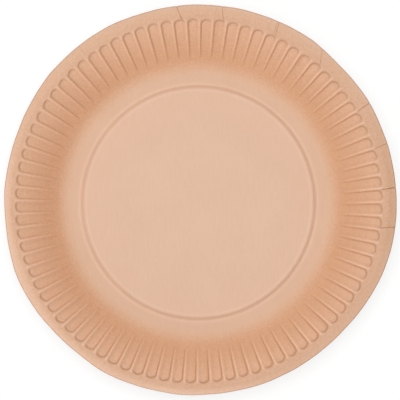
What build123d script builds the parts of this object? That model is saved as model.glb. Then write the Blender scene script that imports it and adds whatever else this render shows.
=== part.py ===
from build123d import *
from math import cos, radians, sin, tan
import os

# Kraft paper plate, pressed from one round blank of board.
# Millimetres, +Z up, origin at the centre of the circle that the plate stands on.

# Board and outline
board = 0.5
plate_radius = 115.0

# Rim: a narrow flat band on top of the shoulder, then a gentle fall to the cut edge
rim_width = 8.2
rim_flat_width = 1.4
rim_fall_angle = 4.5

# Wall, as three rounds that run into each other: hollow foot, crowned side and shoulder
foot_round = 15.0
side_foot_angle = 45.0
side_crown = 90.0
side_top_angle = 31.0
shoulder_round = 9.0

# Flat band that the plate stands on, and the centre panel raised inside it
foot_band_width = 5.8
panel_step_run = 1.1
panel_lift = 0.9

# Flutes pressed into the wall, their widths and flanks as shares of the spacing
flute_count = 84
flute_depth = 1.0
flute_foot_share = 0.62
flute_side_share = 0.70
flute_nose_share = 0.58
flute_tip_share = 0.30
steep_flank_share = 0.06
gentle_flank_share = 0.16
underside_widening = 0.06

# Slopes of the wall where a flute is at full depth, starts its rounded end and runs out
flute_run_in_angle = 42.5
flute_nose_angle = 25.0
flute_tip_angle = 8.0
underside_nose_angle = 24.0
underside_tip_angle = 4.5

# Overlap of the wall with the bands inside and outside it
lap = 0.5


def climb(start, bend_radius, start_angle, end_angle):
    """Point reached from start along a round whose slope changes between two angles."""
    radius, height = start
    run = bend_radius * abs(sin(radians(end_angle)) - sin(radians(start_angle)))
    rise = bend_radius * abs(cos(radians(end_angle)) - cos(radians(start_angle)))
    return (radius + run, height + rise)


# Radii along the upper face, worked inwards from the rim
crest_radius = plate_radius - rim_width
wall_run = (
    shoulder_round * sin(radians(side_top_angle))
    + side_crown * (sin(radians(side_foot_angle)) - sin(radians(side_top_angle)))
    + foot_round * sin(radians(side_foot_angle))
)
foot_radius = crest_radius - wall_run
step_foot_radius = foot_radius - foot_band_width
panel_radius = step_foot_radius - panel_step_run

# Points where the rounds of the wall start and end
foot_start = (foot_radius, board)
side_start = climb(foot_start, foot_round, 0, side_foot_angle)
shoulder_start = climb(side_start, side_crown, side_foot_angle, side_top_angle)
crest = climb(shoulder_start, shoulder_round, side_top_angle, 0)
crest_height = crest[1]


def wall_contours(nose_angle, tip_angle):
    """Contours from foot to crest: point, slope, flute depth and flute width."""
    contours = [((foot_radius - 2 * lap, board), 0, 0, flute_foot_share)]
    for slope in [0, side_foot_angle / 3, 2 * side_foot_angle / 3, side_foot_angle]:
        point = climb(foot_start, foot_round, 0, slope)
        contours.append((point, slope, 0, flute_foot_share))
    for slope in [flute_run_in_angle, (flute_run_in_angle + side_top_angle) / 2, side_top_angle]:
        point = climb(side_start, side_crown, side_foot_angle, slope)
        contours.append((point, slope, flute_depth, flute_side_share))
    nose = climb(shoulder_start, shoulder_round, side_top_angle, nose_angle)
    contours.append((nose, nose_angle, flute_depth, flute_nose_share))
    tip = climb(shoulder_start, shoulder_round, side_top_angle, tip_angle)
    contours.append((tip, tip_angle, 0, flute_tip_share))
    contours.append((crest, 0, 0, flute_tip_share))
    contours.append(((crest_radius + 2 * lap, crest_height), 0, 0, flute_tip_share))
    return contours


def wavy_ring(contour, skin, widening):
    """Corners of a contour round all the flutes, on the face that lies skin deep."""
    (radius, height), slope, depth, width_share = contour
    ridge_radius = radius + skin * sin(radians(slope))
    flute_radius = ridge_radius
    if depth:
        flute_radius += depth / sin(radians(slope))
    half = (width_share + widening) / 2
    corners = [
        (-half, ridge_radius),
        (-half + gentle_flank_share, flute_radius),
        (half - steep_flank_share, flute_radius),
        (half, ridge_radius),
    ]
    points = []
    for flute in range(flute_count):
        for share, corner_radius in corners:
            turn = radians((flute + share) * 360 / flute_count)
            x = corner_radius * cos(turn)
            y = corner_radius * sin(turn)
            points.append(Vector(x, y, height - skin * cos(radians(slope))))
    return points


def flat_faces(a, b, c, d):
    """Four corners as one flat face, or as two triangles where they are out of plane."""
    twist = (b - a).cross(c - a).dot(d - a)
    if abs(twist) < 1e-9:
        return [Face(Wire.make_polygon([a, b, c, d]))]
    return [Face(Wire.make_polygon([a, b, c])), Face(Wire.make_polygon([a, c, d]))]


# Fluted wall: a closed skin over its upper and lower faces
rings = []
for contour in wall_contours(flute_nose_angle, flute_tip_angle):
    rings.append(wavy_ring(contour, 0, 0))
for contour in reversed(wall_contours(underside_nose_angle, underside_tip_angle)):
    rings.append(wavy_ring(contour, board, underside_widening))
skins = []
for ring, following in zip(rings, rings[1:] + rings[:1]):
    for corner in range(len(ring)):
        before = corner - 1
        skins += flat_faces(ring[before], ring[corner], following[corner], following[before])
wall = Solid(Shell(skins))

with BuildPart() as plate:
    # Centre panel, its sloping step and the band that the plate stands on
    with BuildSketch(Plane.XZ):
        with BuildLine():
            Polyline(
                (0, panel_lift),
                (0, panel_lift + board),
                (panel_radius, panel_lift + board),
                (step_foot_radius, board),
                (foot_radius - lap, board),
                (foot_radius - lap, 0),
                (step_foot_radius, 0),
                (panel_radius, panel_lift),
                close=True,
            )
        make_face()
    revolve(axis=Axis.Z)

    # Rim, from the flat on the shoulder to the cut edge
    with BuildSketch(Plane.XZ):
        with BuildLine():
            rim_fall = (rim_width - rim_flat_width) * tan(radians(rim_fall_angle))
            Polyline(
                (crest_radius + lap, crest_height),
                (crest_radius + rim_flat_width, crest_height),
                (plate_radius, crest_height - rim_fall),
                (plate_radius, crest_height - rim_fall - board),
                (crest_radius + rim_flat_width, crest_height - board),
                (crest_radius + lap, crest_height - board),
                close=True,
            )
        make_face()
    revolve(axis=Axis.Z)

    # Fluted wall between them
    add(wall)

plate.part.label = "plate"
os.makedirs("parts", exist_ok=True)
export_step(plate.part, "parts/plate.step")
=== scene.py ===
import math

import bpy
import numpy as np
from mathutils import Matrix, Vector


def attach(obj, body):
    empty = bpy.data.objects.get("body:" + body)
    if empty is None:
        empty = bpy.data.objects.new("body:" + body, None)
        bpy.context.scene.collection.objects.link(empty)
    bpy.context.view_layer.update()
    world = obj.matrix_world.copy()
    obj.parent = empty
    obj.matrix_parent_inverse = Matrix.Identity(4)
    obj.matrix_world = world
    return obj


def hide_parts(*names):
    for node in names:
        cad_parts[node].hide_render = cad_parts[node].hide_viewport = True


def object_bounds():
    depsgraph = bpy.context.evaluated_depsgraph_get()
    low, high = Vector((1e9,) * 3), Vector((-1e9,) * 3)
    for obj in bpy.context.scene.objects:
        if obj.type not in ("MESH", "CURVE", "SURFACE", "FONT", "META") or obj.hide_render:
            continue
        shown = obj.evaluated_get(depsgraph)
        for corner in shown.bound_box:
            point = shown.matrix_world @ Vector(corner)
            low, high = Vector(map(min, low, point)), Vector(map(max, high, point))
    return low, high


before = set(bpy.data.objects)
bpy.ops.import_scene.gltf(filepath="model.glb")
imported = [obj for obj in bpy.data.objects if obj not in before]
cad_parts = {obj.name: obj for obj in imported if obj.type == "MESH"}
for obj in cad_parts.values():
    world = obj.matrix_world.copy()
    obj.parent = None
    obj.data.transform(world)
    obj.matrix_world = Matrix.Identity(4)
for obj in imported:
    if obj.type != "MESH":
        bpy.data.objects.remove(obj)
start_low, start_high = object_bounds()

# A pressed kraft paper plate with a fluted wall, seen from above on white.
# Sizes of the plate are in mm, and turns round it are in degrees as the camera sees them. The
# floor, the lamps and the camera are placed in metres. All of it lies in the CAD frame: +Z up,
# origin at the centre of the circle that the plate stands on.
MM = 0.001
PLATE_RADIUS = round(start_high[0] / MM, 2)

# Section of the upper face, from the centre outwards
BOARD = 0.5
PANEL_RADIUS = 67.15
STEP_HEIGHT = 0.9
STEP_ROUND = 0.8
STEP_ANGLE = 30.0
FOOT_RADIUS = 74.27
FOOT_ROUND = 15.0
FOOT_ANGLE = 45.0
SIDE_CROWN = 90.0
SIDE_TOP_ANGLE = 31.0
SHOULDER_ROUND = 9.0
RIM_FLAT_END = 107.5
RIM_FALL_ANGLE = 4.5
RIM_CURL_START = 111.0
RIM_CURL_ANGLE = 9.0
RIM_CURL_ROUND = 15.0

# Mean radius of the cut edge, and how far the section runs on for the bulges of that edge
BLANK_RADIUS = PLATE_RADIUS - 1.7
SECTION_MARGIN = 3.0

# How close together the points of the section are: mm on straights, points in each bend
SECTION_SPACING = 0.25
BEND_POINTS = 24

# How far the visual plate stays inside the CAD solid: at its edge, its crest and its underside
EDGE_GAP = 0.03
CREST_GAP = 0.01
SKIN_GAP = 0.02
UNDER_SKIN = BOARD - SKIN_GAP

# Flutes: a steep and a gentle side, whose widths are shares of the pitch, and a round nose
FLUTES = 84
PITCH = 360 / FLUTES
FLUTE_DEPTH = 1.0
FLUTE_FIRST_TURN = 1.5
STEEP_SIDE = 0.52
GENTLE_SIDE = 0.44
NOSE_RADIUS = 106.62
NOSE_LENGTH = 3.3

# Where the floor of a flute ends and its flank begins, as a share of the way to its outline
STEEP_EDGE = 0.66
GENTLE_EDGE = 0.02
NOSE_EDGE = 0.42

# How the flutes grow out of the foot: quickly to a share of their depth, then slowly to all of it
FLUTE_RUN_IN_START = 83.6
FLUTE_RUN_IN_MIDDLE = 87.0
FLUTE_RUN_IN_END = 98.0
FLUTE_RUN_IN_SHARE = 0.6

# How much wider the flutes are at the underside, in pitches, and how many mm longer they are for
# each pitch of that
UNDER_WIDENING = 0.03
LENGTH_FOR_WIDENING = 3.0

# How the ring of noses wanders: waves round the plate, height in mm, turn of a peak
NOSE_WANDER = [
    (1, 0.26, 142),
    (2, 0.51, 17),
    (3, 0.59, 112),
    (4, 0.06, 68),
]

# How far the blank sat off the centre of the press, and towards which turn
BLANK_SHIFT = 1.0
BLANK_SHIFT_TURN = 43.0

# Bulges and flats of the cut edge: turn, height in mm, reach to each side in degrees
EDGE_SWELLS = [
    (350, 1.15, 22.4),
    (336, 0.4, 11.2),
    (205, 1.4, 20.8),
    (184, -0.3, 12.8),
    (240, 0.6, 12.8),
    (126, 0.55, 44.8),
    (57, 0.32, 88.0),
    (45, -0.7, 14.4),
    (158, -0.8, 19.2),
    (262, -0.25, 19.2),
    (282, -1.1, 19.2),
    (308, -1.2, 28.8),
    (317, -0.2, 12.8),
    (8, 0.3, 16.0),
]

# Creases of the rim: turn, slant in degrees over the rim, depth in mm, half width in mm
RIM_CREASES = [
    (3.5, 0.45, 0.45, 0.28),
    (16.4, 0.6, 0.26, 0.30),
    (29.35, 0.45, 0.32, 0.30),
    (47.8, 2.9, 0.26, 0.32),
    (65.0, 0.6, 0.28, 0.30),
    (65.7, 0.4, 0.18, 0.26),
    (82.0, 0.9, 0.30, 0.30),
    (94.9, 1.5, 0.45, 0.32),
    (127.6, 0.0, 0.10, 0.34),
    (351.4, 1.0, 0.42, 0.28),
]
CREASE_START = 104.6
CREASE_FADE_IN = 0.3
DEEPEST_CREASE = 0.45

# Raised lips beside a crease: height as a share of its depth, place and width in half widths
CREASE_LIP_SHARE = 0.25
CREASE_LIP_PLACE = 1.5
CREASE_LIP_WIDTH = 0.6

# Depth of the notch that a crease leaves in the cut edge, as a share of the crease's own
NOTCH_SHARE = 1.2

# The rim sags from a little inside the crest outwards, unevenly
CREST_RADIUS = 106.8
SAG_RUN_IN = 3.0
RIM_SAG = 0.36

# Waves round the plate in the sag and in the cut edge: how many, height in mm
SAG_WAVES = [(3, 0.10), (5, 0.07), (8, 0.06), (13, 0.05), (21, 0.03)]
EDGE_WAVES = [(11, 0.10), (17, 0.08), (29, 0.05), (47, 0.03)]

# Every flute differs a little: in length by mm, in depth by a share, in place by a share of the
# pitch
LENGTH_SPREAD = 0.16
DEPTH_SPREAD = 0.05
PLACE_SPREAD = 0.008
SEED = 84
rng = np.random.default_rng(SEED)
FLUTE_LENGTH_SHIFT = rng.normal(0, LENGTH_SPREAD, FLUTES)
FLUTE_DEPTH_SHARE = 1 + rng.normal(0, DEPTH_SPREAD, FLUTES)
FLUTE_PLACE_SHIFT = rng.normal(0, PLACE_SPREAD, FLUTES)
SAG_PHASES = rng.uniform(0, 2 * math.pi, len(SAG_WAVES))
EDGE_PHASES = rng.uniform(0, 2 * math.pi, len(EDGE_WAVES))

# Painted light and shade on the flutes, as shares of the board's own tone: painted shade on the
# steep sides, painted shade in the noses that fades on the side away from the steep one, painted
# highlights on the lips and painted light on the floors
FLANK_PAINTED_SHADE = 0.21
FLANK_SHADE_RISE = 0.3
NOSE_PAINTED_SHADE = 0.34
LEE_SHARE = 0.5
LEE_START = 0.05
LEE_END = 0.4
LIP_PAINTED_HIGHLIGHT = 0.25
LIP_PLACE = -0.40
LIP_WIDTH = 0.06
LIP_END_BEFORE_NOSE = 1.7
LIP_END_PAST_NOSE = 0.3
FLOOR_PAINTED_LIGHT = 0.05
FLOOR_START = 93.0
FOOT_TONE_SHARE = 0.25
FOOT_TONE_START = 79.6

# The painted shade of the sides and the painted highlights of the lips are stronger towards one
# turn, and the painted shade of the noses towards another, as the light falls round the plate.
# The sides have less painted shade towards two opposite turns
STRONGER_LIGHT_AND_SHADE_TURN = 315.0
SIDE_SHADE_TURN_SHARE = 0.42
LIP_HIGHLIGHT_TURN_SHARE = 0.19
LESS_SIDE_SHADE_TURN = 347.0
LESS_SIDE_SHADE_SHARE = 0.33
DARKER_NOSE_SHADE_TURN = 250.0
NOSE_SHADE_TURN_SHARE = 0.28

# Painted light on the step between the panel and the foot: one line of painted shade between two
# painted highlights
STEP_LINE = PANEL_RADIUS + 0.35
STEP_PAINTED_SHADE = 0.05
STEP_SHADE_WIDTH = 0.9
STEP_LIPS = (PANEL_RADIUS - 1.25, PANEL_RADIUS + 2.75)
STEP_PAINTED_HIGHLIGHT = 0.065
STEP_HIGHLIGHT_WIDTH = 0.6

# Outer rim, a little darker all round, with painted light towards the lower left and painted
# shade at the right: turn, tone, reach to each side in degrees
OUTER_RIM_START = 107.8
OUTER_RIM_END = 111.6
OUTER_RIM_TONE = -0.02
OUTER_RIM_PAINTED_LIGHT = [(0, -0.13, 40), (225, 0.13, 100), (180, 0.09, 28), (270, 0.09, 28)]

# Painted shade in the creases, and a line of painted shade along the cut edge: its width and the
# part with the full tone
CREASE_PAINTED_SHADE = 0.5
EDGE_PAINTED_SHADE = 0.45
EDGE_LINE_WIDTH = 0.55
EDGE_LINE_CORE = 0.4 * EDGE_LINE_WIDTH
DARKEST_TONE = 0.45
PALEST_TONE = 1.4

# Powers of the tone for red, green and blue, painted light and shade included: darker is redder,
# paler is whiter
TONE_POWERS = (0.75, 1.1, 1.55)

# Colour of the board, darker and redder on the wall than on the flat middle and the rim: place as
# a share of the plate's radius, linear red, green and blue
BOARD_COLOURS = [
    (0.00, (0.628, 0.415, 0.296)),
    (0.56, (0.632, 0.411, 0.292)),
    (0.64, (0.612, 0.386, 0.263)),
    (0.74, (0.602, 0.325, 0.189)),
    (0.88, (0.612, 0.349, 0.217)),
    (0.912, (0.575, 0.333, 0.212)),
    (0.935, (0.588, 0.348, 0.228)),
    (0.955, (0.618, 0.374, 0.248)),
    (1.00, (0.640, 0.410, 0.286)),
]

# Patterns of the board: scale, detail, roughness, and scale along Y as a share of that along X
CLOUD_PATTERN = (38, 3, 0.5, 1.0)
LONG_FIBRE_PATTERN = (900, 4, 0.6, 0.16)
FINE_FIBRE_PATTERN = (2600, 3, 0.6, 1.0)
GRAIN_PATTERN = (1000, 2, 0.55, 1.0)
SHEEN_PATTERN = (1400, 3, 0.6, 1.0)
RELIEF_PATTERN = (3200, 5, 0.65, 0.45)
PATTERN_LOW = 0.3
PATTERN_HIGH = 0.7

# How much the patterns change the tone, and where the press has opened the grain
CLOUD_REACH = 0.015
LONG_FIBRE_REACH = 0.018
FINE_FIBRE_REACH = 0.025
GRAIN_REACH = 0.065
GRAIN_START = 72.0
GRAIN_FULL = 82.0

# Finish of the board
BOARD_ROUGHNESS = 0.65
ROUGHNESS_REACH = 0.07
BOARD_SPECULAR = 0.28
RELIEF_STRENGTH = 0.22
RELIEF_HEIGHT = 0.06

# Columns of points: coarse up to the foot, then at these shares of the pitch of each flute, and
# close together as far as this many half widths from the middle of a crease
COARSE_COLUMNS = 168
FLUTE_COLUMNS = [
    -0.475, -0.45, -0.41, -0.35, -0.28, -0.20, -0.11, 0.0,
    0.12, 0.23, 0.31, 0.365, 0.41, 0.455, 0.495,
]
CREASE_COLUMN_REACH = 2
CREASE_COLUMN_SPACING = 0.10
SMALLEST_COLUMN_SPACING = 0.035

# Rows of points: on the panel, from the edge of the panel over the step, up the wall on the upper
# and the lower face, and at shares of the way over the rim to the cut edge
PANEL_ROWS = [4, 14, 26, 38, 50, 60]
STEP_ROWS = [
    -2.55, -1.85, -1.35, -0.85, -0.35, 0.0, 0.2, 0.4, 0.7, 1.0, 1.3, 1.6, 1.8, 2.0, 2.35, 2.85,
    3.55, 4.65,
]
COARSE_ROWS = PANEL_ROWS + [PANEL_RADIUS + away for away in STEP_ROWS]
UPPER_ROWS = [
    73.2, 74.5, 76.5, 78.5, 80.5, 82.0, 83.1, 84.0, 84.8, 85.6, 86.4, 87.2, 88.6, 90.6, 93.0,
    95.5, 98.0, 100.2, 101.8, 102.8, 103.5, 104.0, 104.4, 104.8, 105.2, 105.6, 106.0, 106.4,
    106.8, 107.2, 107.6, 108.0,
]
LOWER_ROWS = [
    73.2, 75.8, 79.0, 82.0, 84.4, 87.0, 91.5, 96.5, 100.0, 102.4, 103.8, 104.8, 105.7, 106.6,
    107.6,
]
RIM_SHARES = [0.15, 0.32, 0.50, 0.68, 0.83]
EDGE_BEVEL = 0.09
SHARP_ANGLE = 50

# White floor just under the foot
FLOOR_HALF = 1.6
FLOOR_DROP = 0.0002
FLOOR_WHITE = 0.95
FLOOR_ROUGHNESS = 0.9
PLAIN_WHITE_SHARE = 0.82

# Soft lamps: name, size, power, place. One is above, a little from the left, and a low fill comes
# from the front left, where the falling rim catches it
LAMPS = [
    ("softbox", 0.6, 8.1, (-0.05, 0.08, 0.95)),
    ("fill", 0.8, 2.2, (-0.9, -0.8, 0.55)),
]

# The room is brighter beyond the plate's near and far sides than to its left and right
ROOM_LIGHT = 0.10
ROOM_LIGHT_ACROSS = 0.85

# Camera almost straight above, with the plate turned a little under it. The visible outline takes
# this much of the half width of the picture, both in pixels
PHOTO_TURN = 1.5
CAMERA_AIM = Vector((0.93, 0.70, 19.0)) * MM
CAMERA_ELEVATION = math.radians(87.6)
CAMERA_DISTANCE = 1.6
SENSOR_WIDTH = 36
SEEN_RADIUS = 113.2
SEEN_RADIUS_PIXELS = 195.5
HALF_PICTURE_PIXELS = 200


def smooth(low, high, value):
    """0 up to low, 1 from high on, and an even S between."""
    share = np.clip((value - low) / (high - low), 0, 1)
    return share * share * (3 - 2 * share)


def bell(value, middle, width):
    """1 at the middle, fading out on both sides."""
    return np.exp(-(((value - middle) / width) ** 2))


def turn_from(turn, middle):
    """Signed turn from the middle, between -180 and 180 degrees."""
    return (turn - middle + 180) % 360 - 180


def hump(turn, middle, reach):
    """1 at the middle turn, falling smoothly to 0 at the reach on each side."""
    return 1 - smooth(0, reach, np.abs(turn_from(turn, middle)))


def swing(turn, peak, waves=1):
    """1 at the peak turn and -1 half a wave from it, for so many waves round the plate."""
    return np.cos(np.radians(waves * (turn - peak)))


def wave_sum(turn, waves, phases):
    """Height of the waves together."""
    total = np.zeros_like(turn)
    for (count, height), phase in zip(waves, phases):
        total = total + height * np.cos(np.radians(count * turn) + phase)
    return total


def section_points():
    """Radius, height and slope of the upper face at close points, from the centre outwards."""
    radius, height, slope = [0.0], [BOARD + STEP_HEIGHT], [0.0]

    def straight(end_radius, angle):
        """Out to a radius at one slope."""
        begin, base = radius[-1], height[-1]
        rise = math.tan(math.radians(angle))
        count = max(2, int((end_radius - begin) / SECTION_SPACING))
        for k in range(1, count + 1):
            run = (end_radius - begin) * k / count
            radius.append(begin + run)
            height.append(base + run * rise)
            slope.append(angle)

    def bend(bend_radius, end_angle):
        """Round to another slope."""
        begin, base, start_angle = radius[-1], height[-1], slope[-1]
        start_sine = math.sin(math.radians(start_angle))
        start_cosine = math.cos(math.radians(start_angle))
        direction = 1 if start_angle + end_angle > 0 else -1
        for k in range(1, BEND_POINTS + 1):
            angle = start_angle + (end_angle - start_angle) * k / BEND_POINTS
            run = bend_radius * abs(math.sin(math.radians(angle)) - start_sine)
            rise = bend_radius * abs(math.cos(math.radians(angle)) - start_cosine)
            radius.append(begin + run)
            height.append(base + direction * rise)
            slope.append(angle)

    straight(PANEL_RADIUS, 0)
    bend(STEP_ROUND, -STEP_ANGLE)
    drop_of_bends = 2 * STEP_ROUND * (1 - math.cos(math.radians(STEP_ANGLE)))
    step_run = (STEP_HEIGHT - drop_of_bends) / math.tan(math.radians(STEP_ANGLE))
    straight(radius[-1] + step_run, -STEP_ANGLE)
    bend(STEP_ROUND, 0)
    straight(FOOT_RADIUS, 0)
    bend(FOOT_ROUND, FOOT_ANGLE)
    bend(SIDE_CROWN, SIDE_TOP_ANGLE)
    bend(SHOULDER_ROUND, 0)
    straight(RIM_FLAT_END, 0)
    bend(SHOULDER_ROUND, -RIM_FALL_ANGLE)
    straight(RIM_CURL_START, -RIM_FALL_ANGLE)
    bend(RIM_CURL_ROUND, -RIM_CURL_ANGLE)
    straight(BLANK_RADIUS + SECTION_MARGIN, -RIM_CURL_ANGLE)
    return np.array(radius), np.array(height), np.array(slope)


SECTION_RADIUS, SECTION_HEIGHT, SECTION_SLOPE = section_points()
CREST_HEIGHT = float(SECTION_HEIGHT.max()) - CREST_GAP


def section_at(radius):
    """Height and slope in radians of the plain upper face."""
    height = np.interp(radius, SECTION_RADIUS, SECTION_HEIGHT)
    slope = np.radians(np.interp(radius, SECTION_RADIUS, SECTION_SLOPE))
    return height, slope


def nose_radius(turn):
    """Radius of the ring where the flutes end."""
    radius = np.full_like(turn, NOSE_RADIUS)
    for waves, height, peak in NOSE_WANDER:
        radius = radius + height * swing(turn, peak, waves)
    return radius


def flute_at(turn):
    """Number of the flute at a turn, and the place across it in pitches from its middle."""
    place = (turn - FLUTE_FIRST_TURN) / PITCH
    number = np.round(place).astype(int)
    return number % FLUTES, place - number


def flute_shape(radius, turn, widening):
    """Share of the flute depth at a point, without the run-in."""
    number, across = flute_at(turn)
    across = across - FLUTE_PLACE_SHIFT[number]
    half_width = np.where(across > 0, STEEP_SIDE, GENTLE_SIDE) + widening
    end = nose_radius(FLUTE_FIRST_TURN + number * PITCH) + FLUTE_LENGTH_SHIFT[number]
    end = end + widening * LENGTH_FOR_WIDENING
    along = np.maximum(0, (radius - (end - NOSE_LENGTH)) / NOSE_LENGTH)
    aside = across / half_width
    away = np.sqrt(along**2 + aside**2)
    nose_share = np.divide(along, away, out=np.zeros_like(away), where=away > 0)
    side_edge = np.where(aside > 0, STEEP_EDGE, GENTLE_EDGE)
    edge = side_edge * (1 - nose_share) + NOSE_EDGE * nose_share
    return (1 - smooth(edge, 1.0, away)) * FLUTE_DEPTH_SHARE[number]


def flute_run_in(radius):
    """How far the flutes have grown, from 0 at the foot to 1."""
    quick = smooth(FLUTE_RUN_IN_START, FLUTE_RUN_IN_MIDDLE, radius)
    slow = smooth(FLUTE_RUN_IN_MIDDLE, FLUTE_RUN_IN_END, radius)
    return FLUTE_RUN_IN_SHARE * quick + (1 - FLUTE_RUN_IN_SHARE) * slow


def edge_radius(turn):
    """Radius of the cut edge."""
    radius = BLANK_RADIUS + BLANK_SHIFT * swing(turn, BLANK_SHIFT_TURN)
    for middle, height, reach in EDGE_SWELLS:
        radius = radius + height * hump(turn, middle, reach)
    radius = radius + wave_sum(turn, EDGE_WAVES, EDGE_PHASES)
    for middle, slant, depth, half_width in RIM_CREASES:
        distance = np.abs(np.radians(turn_from(turn, middle + slant))) * BLANK_RADIUS
        radius = radius - NOTCH_SHARE * depth * (1 - smooth(0, half_width, distance))
    return np.minimum(radius, PLATE_RADIUS - EDGE_GAP)


def creases_at(radius, turn):
    """For each crease: distance from it, how far it has grown, its depth and half width."""
    share = np.clip((radius - CREASE_START) / (BLANK_RADIUS - CREASE_START), 0, 1)
    grown = smooth(0, CREASE_FADE_IN, share)
    for middle, slant, depth, half_width in RIM_CREASES:
        away = turn_from(turn, middle + slant * share)
        yield np.abs(np.radians(away)) * radius, grown, depth, half_width


def crease_drop(radius, turn):
    """Depth of the creases, less the lips beside them."""
    total = np.zeros_like(turn)
    for distance, grown, depth, half_width in creases_at(radius, turn):
        fold = 1 - np.clip(distance / half_width, 0, 1)
        lip = bell(distance, CREASE_LIP_PLACE * half_width, CREASE_LIP_WIDTH * half_width)
        total = total + depth * (fold - CREASE_LIP_SHARE * lip) * grown
    return total


def crease_shade_mask(radius, turn):
    """Nearness to the bottom of a crease, up to 1 in the deepest one, for the painted shade
    there.
    """
    total = np.zeros_like(turn)
    for distance, grown, depth, half_width in creases_at(radius, turn):
        fold = 1 - np.clip(distance / half_width, 0, 1)
        total = total + fold * grown * depth / DEEPEST_CREASE
    return np.clip(total, 0, 1)


def rim_sag(radius, turn):
    """How far the rim lies below its pressed height, never above it."""
    grown = smooth(CREST_RADIUS - SAG_RUN_IN, BLANK_RADIUS, radius)
    return grown * (RIM_SAG + wave_sum(turn, SAG_WAVES, SAG_PHASES))


def flank_share(shape):
    """1 halfway down a flank, where the flute has half its depth, and 0 at its top and foot."""
    return 4 * shape * (1 - shape)


def flute_painted_light(radius, turn, widening):
    """Painted shade on steep sides and noses, painted highlights on lips and light on floors."""
    shape = np.clip(flute_shape(radius, turn, widening), 0, 1)
    across = flute_at(turn)[1]
    end = nose_radius(turn)
    nose = smooth(end - NOSE_LENGTH, end, radius)
    grown = FOOT_TONE_SHARE + (1 - FOOT_TONE_SHARE) * smooth(FOOT_TONE_START, end, radius)
    toward_stronger_shade = swing(turn, STRONGER_LIGHT_AND_SHADE_TURN)

    # Painted shade on the steep sides and in the noses, less of it in the noses on the gentle
    # side
    side = FLANK_PAINTED_SHADE * smooth(0, FLANK_SHADE_RISE, across) * (1 - nose) * grown
    side = side * (1 + SIDE_SHADE_TURN_SHARE * toward_stronger_shade - LESS_SIDE_SHADE_SHARE * swing(turn, LESS_SIDE_SHADE_TURN, 2))
    lee = 1 - LEE_SHARE * smooth(LEE_START, LEE_END, -across)
    front = NOSE_PAINTED_SHADE * nose * lee * (1 + NOSE_SHADE_TURN_SHARE * swing(turn, DARKER_NOSE_SHADE_TURN))
    flank = flank_share(shape) * flute_run_in(radius) * (side + front)

    # Painted highlight along the lip of each flute
    lip = LIP_PAINTED_HIGHLIGHT * bell(across, LIP_PLACE, LIP_WIDTH) * grown * (1 + LIP_HIGHLIGHT_TURN_SHARE * toward_stronger_shade)
    lip = lip * smooth(FLUTE_RUN_IN_START, FLUTE_RUN_IN_MIDDLE, radius)
    lip = lip * (1 - smooth(end - LIP_END_BEFORE_NOSE, end + LIP_END_PAST_NOSE, radius))

    # Painted light on the floors, growing towards the noses
    floor_light = FLOOR_PAINTED_LIGHT * smooth(FLOOR_START, end - NOSE_LENGTH, radius) * shape
    return lip + floor_light - flank


def step_painted_light(radius):
    """Painted shade and highlights on the step between the panel and the foot."""
    tone = -STEP_PAINTED_SHADE * bell(radius, STEP_LINE, STEP_SHADE_WIDTH)
    for lip_radius in STEP_LIPS:
        tone = tone + STEP_PAINTED_HIGHLIGHT * bell(radius, lip_radius, STEP_HIGHLIGHT_WIDTH)
    return tone


def rim_painted_light(radius, turn):
    """Painted light and shade on the outer rim, in its creases and along its cut edge."""
    stretches = np.full_like(turn, OUTER_RIM_TONE)
    for middle, height, reach in OUTER_RIM_PAINTED_LIGHT:
        stretches = stretches + height * hump(turn, middle, reach)
    stretches = stretches * smooth(OUTER_RIM_START, OUTER_RIM_END, radius)
    edge = edge_radius(turn)
    edge_line = smooth(edge - EDGE_LINE_WIDTH, edge - EDGE_LINE_CORE, radius)
    return stretches - CREASE_PAINTED_SHADE * crease_shade_mask(radius, turn) - EDGE_PAINTED_SHADE * edge_line


def painted_light_tone(radius, turn, widening):
    """Painted light and shade at a point, as a share of the board's tone: 1 where there is none.
    """
    tone = 1 + flute_painted_light(radius, turn, widening) + step_painted_light(radius) + rim_painted_light(radius, turn)
    return np.clip(tone, DARKEST_TONE, PALEST_TONE)


def face_points(radius, turn, depth, widening):
    """Points in metres on the face that lies so deep in the board under the upper face."""
    height, slope = section_at(radius)
    inward = depth + FLUTE_DEPTH * flute_shape(radius, turn, widening) * flute_run_in(radius)
    out = radius + inward * np.sin(slope)
    up = height - inward * np.cos(slope) - rim_sag(radius, turn) - crease_drop(radius, turn)
    up = np.minimum(up, CREST_HEIGHT - depth)
    angle = np.radians(turn - PHOTO_TURN)
    return np.stack([out * np.cos(angle), out * np.sin(angle), up], axis=-1) * MM


def fine_columns():
    """Turns of the columns of the fluted wall and rim."""
    turns = []
    for flute in range(FLUTES):
        turns.extend((flute + share) * PITCH + FLUTE_FIRST_TURN for share in FLUTE_COLUMNS)
    for middle, slant, _, half_width in RIM_CREASES:
        reach = math.degrees(half_width * CREASE_COLUMN_REACH / BLANK_RADIUS)
        begin = middle + min(slant, 0) - reach
        end = middle + max(slant, 0) + reach
        turns.extend(np.arange(begin, end, CREASE_COLUMN_SPACING))
    turns = np.sort(np.array(turns) % 360)
    return turns[np.append(np.diff(turns) > SMALLEST_COLUMN_SPACING, True)]


COARSE_TURNS = np.arange(COARSE_COLUMNS) * 360 / COARSE_COLUMNS
FINE_TURNS = fine_columns()
EDGE_RADII = edge_radius(FINE_TURNS)


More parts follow.
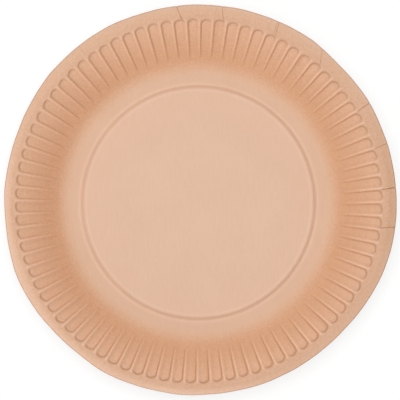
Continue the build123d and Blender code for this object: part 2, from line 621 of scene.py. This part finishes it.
class Sheet:
    """Points in metres, tones and faces of the sheet of board, built ring by ring."""

    def __init__(self):
        self.points = []
        self.tones = []
        self.faces = []

    def centre(self, depth):
        """One point in the middle, as its number."""
        height, _ = section_at(0.0)
        self.points.append((0.0, 0.0, float(height - depth) * MM))
        self.tones.append(1.0)
        return len(self.points) - 1

    def ring(self, radius, turns, depth, widening):
        """A ring of points at one radius or a radius for each turn, as their numbers."""
        radii = np.full_like(turns, radius)
        first = len(self.points)
        self.points.extend(face_points(radii, turns, depth, widening).tolist())
        self.tones.extend(painted_light_tone(radii, turns, widening).tolist())
        return list(range(first, len(self.points)))

    def face(self, corners, upward):
        """One face, whose corners run the other way round on the underside."""
        self.faces.append(tuple(corners) if upward else tuple(corners[::-1]))

    def fan(self, middle, ring, upward):
        """Triangles from one point to the ring round it."""
        for here, following in zip(ring, ring[1:] + ring[:1]):
            self.face((middle, here, following), upward)

    def band(self, inner, outer, upward=True):
        """Quads between two rings with the same number of points."""
        for k in range(len(inner)):
            n = (k + 1) % len(inner)
            self.face((inner[k], outer[k], outer[n], inner[n]), upward)

    def splice(self, coarse, fine, upward):
        """Faces between a coarse ring and a fine one, each with the fine points of its sector."""
        sectors = [[] for _ in coarse]
        for point, turn in zip(fine, FINE_TURNS):
            sectors[int(turn * COARSE_COLUMNS / 360) % COARSE_COLUMNS].append(point)
        for k in range(COARSE_COLUMNS):
            n = (k + 1) % COARSE_COLUMNS
            self.face([coarse[k], *sectors[k], sectors[n][0], coarse[n]], upward)

    def skin(self, depth, widening, rows, insets, upward):
        """One side of the board from the centre to the edge, as its last ring."""
        here = self.ring(COARSE_ROWS[0], COARSE_TURNS, depth, widening)
        self.fan(self.centre(depth), here, upward)
        for row in COARSE_ROWS[1:]:
            before, here = here, self.ring(row, COARSE_TURNS, depth, widening)
            self.band(before, here, upward)
        before, here = here, self.ring(rows[0], FINE_TURNS, depth, widening)
        self.splice(before, here, upward)
        rim_width = EDGE_RADII - EDGE_BEVEL - rows[-1]
        rim_rows = [rows[-1] + rim_width * share for share in RIM_SHARES]
        edge_rows = [EDGE_RADII - inset for inset in insets]
        for row in rows[1:] + rim_rows + edge_rows:
            before, here = here, self.ring(row, FINE_TURNS, depth, widening)
            self.band(before, here, upward)
        return here


def add_object(name, data):
    """A new object at the origin."""
    thing = bpy.data.objects.new(name, data)
    bpy.context.scene.collection.objects.link(thing)
    return thing


def make_plate():
    """The plate as one closed sheet: two skins, joined by a bevelled cut edge."""
    sheet = Sheet()
    upper_insets = (EDGE_LINE_WIDTH, EDGE_LINE_CORE, EDGE_BEVEL)
    top = sheet.skin(0.0, 0.0, UPPER_ROWS, upper_insets, True)
    bottom = sheet.skin(UNDER_SKIN, UNDER_WIDENING, LOWER_ROWS, (EDGE_BEVEL,), False)
    upper_edge = sheet.ring(EDGE_RADII, FINE_TURNS, EDGE_BEVEL, 0.0)
    lower_edge = sheet.ring(EDGE_RADII, FINE_TURNS, UNDER_SKIN - EDGE_BEVEL, UNDER_WIDENING)
    sheet.band(top, upper_edge)
    sheet.band(upper_edge, lower_edge)
    sheet.band(lower_edge, bottom)

    mesh = bpy.data.meshes.new("plate_visual")
    mesh.from_pydata(sheet.points, [], sheet.faces)
    # Painted light and shade of each point, which the board's material reads
    tones = mesh.attributes.new("painted_light_and_shade", "FLOAT", "POINT")
    tones.data.foreach_set("value", sheet.tones)
    mesh.validate()
    mesh.update()
    mesh.shade_smooth()
    mesh.set_sharp_from_angle(angle=math.radians(SHARP_ANGLE))
    return add_object("plate_visual", mesh)


def add_node(tree, kind, inputs, **settings):
    """A shader node with its settings, and its inputs linked to sockets or set to values."""
    node = tree.nodes.new("ShaderNode" + kind)
    for name, value in settings.items():
        setattr(node, name, value)
    for key, value in inputs.items():
        if isinstance(value, bpy.types.NodeSocket):
            tree.links.new(value, node.inputs[key])
        else:
            node.inputs[key].default_value = value
    return node


def add_math(tree, operation, *values):
    """The result of one arithmetic step with sockets or numbers."""
    node = add_node(tree, "Math", dict(enumerate(values)), operation=operation)
    return node.outputs["Value"]


def board_colour(tree, distance):
    """Colour of the board by its distance from the plate's axis."""
    inputs = {"Value": distance, "From Max": PLATE_RADIUS * MM}
    radial = add_node(tree, "MapRange", inputs)
    colours = add_node(tree, "ValToRGB", {"Fac": radial.outputs["Result"]})
    ramp = colours.color_ramp
    ramp.interpolation = "EASE"
    # The ramp has a first and a last place already, and keeps all its places in order
    for place, _ in BOARD_COLOURS[1:-1]:
        ramp.elements.new(place)
    for element, (_, colour) in zip(ramp.elements, BOARD_COLOURS):
        element.color = (*colour, 1)
    return colours.outputs["Color"]


def kraft_material():
    """Kraft board: its colour, the painted light and shade, its fibres, sheen and relief."""
    material = bpy.data.materials.new("kraft_board")
    material.use_nodes = True
    tree = material.node_tree
    tree.nodes.clear()
    place = add_node(tree, "TexCoord", {}).outputs["Object"]

    def pattern(scale, detail, roughness, scale_along):
        """A noise pattern that stays in place on the board."""
        inputs = {"Vector": place, "Scale": (1.0, scale_along, 1.0)}
        mapping = add_node(tree, "Mapping", inputs)
        inputs = {"Scale": scale, "Detail": detail, "Roughness": roughness}
        inputs["Vector"] = mapping.outputs["Vector"]
        return add_node(tree, "TexNoise", inputs).outputs["Fac"]

    def varied(settings, middle, reach):
        """A pattern that spreads evenly round its middle value."""
        inputs = {"From Min": PATTERN_LOW, "From Max": PATTERN_HIGH}
        inputs.update({"To Min": middle - reach, "To Max": middle + reach})
        inputs["Value"] = pattern(*settings)
        return add_node(tree, "MapRange", inputs).outputs["Result"]

    # Distance from the plate's axis
    flat_inputs = {0: place, 1: (1.0, 1.0, 0.0)}
    flat = add_node(tree, "VectorMath", flat_inputs, operation="MULTIPLY")
    length_inputs = {0: flat.outputs["Vector"]}
    distance = add_node(tree, "VectorMath", length_inputs, operation="LENGTH").outputs["Value"]

    # Grain that the press opens on the wall and rim, and hardly on the flat middle
    opened_inputs = {"From Min": GRAIN_START * MM, "From Max": GRAIN_FULL * MM, "Value": distance}
    opened = add_node(tree, "MapRange", opened_inputs, interpolation_type="SMOOTHSTEP")
    grain = varied(GRAIN_PATTERN, 0.0, GRAIN_REACH)
    grain = add_math(tree, "MULTIPLY_ADD", grain, opened.outputs["Result"], 1.0)

    # Tone from the fibres and from the painted light and shade, which changes blue most and red
    # least
    clouds = varied(CLOUD_PATTERN, 1.0, CLOUD_REACH)
    long_fibres = varied(LONG_FIBRE_PATTERN, 1.0, LONG_FIBRE_REACH)
    fine_fibres = varied(FINE_FIBRE_PATTERN, 1.0, FINE_FIBRE_REACH)
    fibres = add_math(tree, "MULTIPLY", clouds, long_fibres)
    fibres = add_math(tree, "MULTIPLY", fibres, add_math(tree, "MULTIPLY", fine_fibres, grain))
    painted_tone = add_node(tree, "Attribute", {}, attribute_type="GEOMETRY", attribute_name="painted_light_and_shade")
    tone = add_math(tree, "MULTIPLY", fibres, painted_tone.outputs["Fac"])
    channels = [add_math(tree, "POWER", tone, power) for power in TONE_POWERS]
    tones = add_node(tree, "CombineXYZ", dict(enumerate(channels)))
    colour_inputs = {0: board_colour(tree, distance), 1: tones.outputs["Vector"]}
    colour = add_node(tree, "VectorMath", colour_inputs, operation="MULTIPLY")

    relief_inputs = {"Strength": RELIEF_STRENGTH, "Distance": RELIEF_HEIGHT * MM}
    relief_inputs["Height"] = pattern(*RELIEF_PATTERN)
    relief = add_node(tree, "Bump", relief_inputs)
    shader_inputs = {
        "Base Color": colour.outputs["Vector"],
        "Roughness": varied(SHEEN_PATTERN, BOARD_ROUGHNESS, ROUGHNESS_REACH),
        "Specular IOR Level": BOARD_SPECULAR,
        "Normal": relief.outputs["Normal"],
    }
    shader = add_node(tree, "BsdfPrincipled", shader_inputs)
    add_node(tree, "OutputMaterial", {"Surface": shader.outputs["BSDF"]})
    return material


def floor_material():
    """Matt white that is mostly plain white to the camera, so that only a faint shadow stays."""
    material = bpy.data.materials.new("white_floor")
    material.use_nodes = True
    tree = material.node_tree
    tree.nodes.clear()
    matt_inputs = {
        "Base Color": (FLOOR_WHITE, FLOOR_WHITE, FLOOR_WHITE, 1),
        "Roughness": FLOOR_ROUGHNESS,
        "Specular IOR Level": 0.0,
    }
    matt = add_node(tree, "BsdfPrincipled", matt_inputs)
    white = add_node(tree, "Emission", {})
    seen = add_node(tree, "LightPath", {}).outputs["Is Camera Ray"]
    blend_inputs = {
        "Fac": add_math(tree, "MULTIPLY", seen, PLAIN_WHITE_SHARE),
        1: matt.outputs["BSDF"],
        2: white.outputs["Emission"],
    }
    blend = add_node(tree, "MixShader", blend_inputs)
    add_node(tree, "OutputMaterial", {"Surface": blend.outputs["Shader"]})
    return material


def make_floor():
    """A wide square just under the foot."""
    signs = [(-1, -1), (1, -1), (1, 1), (-1, 1)]
    corners = [(x * FLOOR_HALF, y * FLOOR_HALF, 0) for x, y in signs]
    mesh = bpy.data.meshes.new("floor")
    mesh.from_pydata(corners, [], [(0, 1, 2, 3)])
    mesh.materials.append(floor_material())
    floor = add_object("floor", mesh)
    floor.location.z = -FLOOR_DROP
    return floor


def soft_lamp(name, size, power, place):
    """A round lamp that faces the plate."""
    data = bpy.data.lights.new(name, "AREA")
    data.shape = "DISK"
    data.size = size
    data.energy = power
    lamp = add_object(name, data)
    lamp.location = place
    lamp.rotation_euler = (-lamp.location).to_track_quat("-Z", "Y").to_euler()


def light_room():
    """White light from all round, stronger towards +Y and -Y."""
    world = bpy.data.worlds.new("room")
    bpy.context.scene.world = world
    world.use_nodes = True
    tree = world.node_tree
    tree.nodes.clear()
    toward = add_node(tree, "TexCoord", {}).outputs["Generated"]
    along = add_node(tree, "SeparateXYZ", {"Vector": toward}).outputs["Y"]
    square = add_math(tree, "MULTIPLY", along, along)
    strength = add_math(tree, "MULTIPLY_ADD", square, ROOM_LIGHT_ACROSS, ROOM_LIGHT)
    light = add_node(tree, "Background", {"Color": (1, 1, 1, 1), "Strength": strength})
    add_node(tree, "OutputWorld", {"Surface": light.outputs["Background"]})


def place_camera():
    """Camera that sees the plate as large as in the photo."""
    data = bpy.data.cameras.new("camera")
    camera = add_object("camera", data)
    direction = Vector((0, -math.cos(CAMERA_ELEVATION), math.sin(CAMERA_ELEVATION)))
    turned = Matrix.Rotation(-math.radians(PHOTO_TURN), 4, "Z")
    moved = Matrix.Translation(CAMERA_AIM + direction * CAMERA_DISTANCE)
    aimed = (-direction).to_track_quat("-Z", "Y").to_matrix().to_4x4()
    camera.matrix_world = turned @ moved @ aimed
    half_view = SEEN_RADIUS * MM * HALF_PICTURE_PIXELS / SEEN_RADIUS_PIXELS
    data.sensor_width = SENSOR_WIDTH
    data.lens = SENSOR_WIDTH / 2 * CAMERA_DISTANCE / half_view
    bpy.context.scene.camera = camera


plate = make_plate()
plate.data.materials.append(kraft_material())
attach(plate, "root")
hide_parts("plate")

floor = make_floor()
for lamp_settings in LAMPS:
    soft_lamp(*lamp_settings)
light_room()
place_camera()
bpy.context.scene.view_settings.view_transform = "Standard"
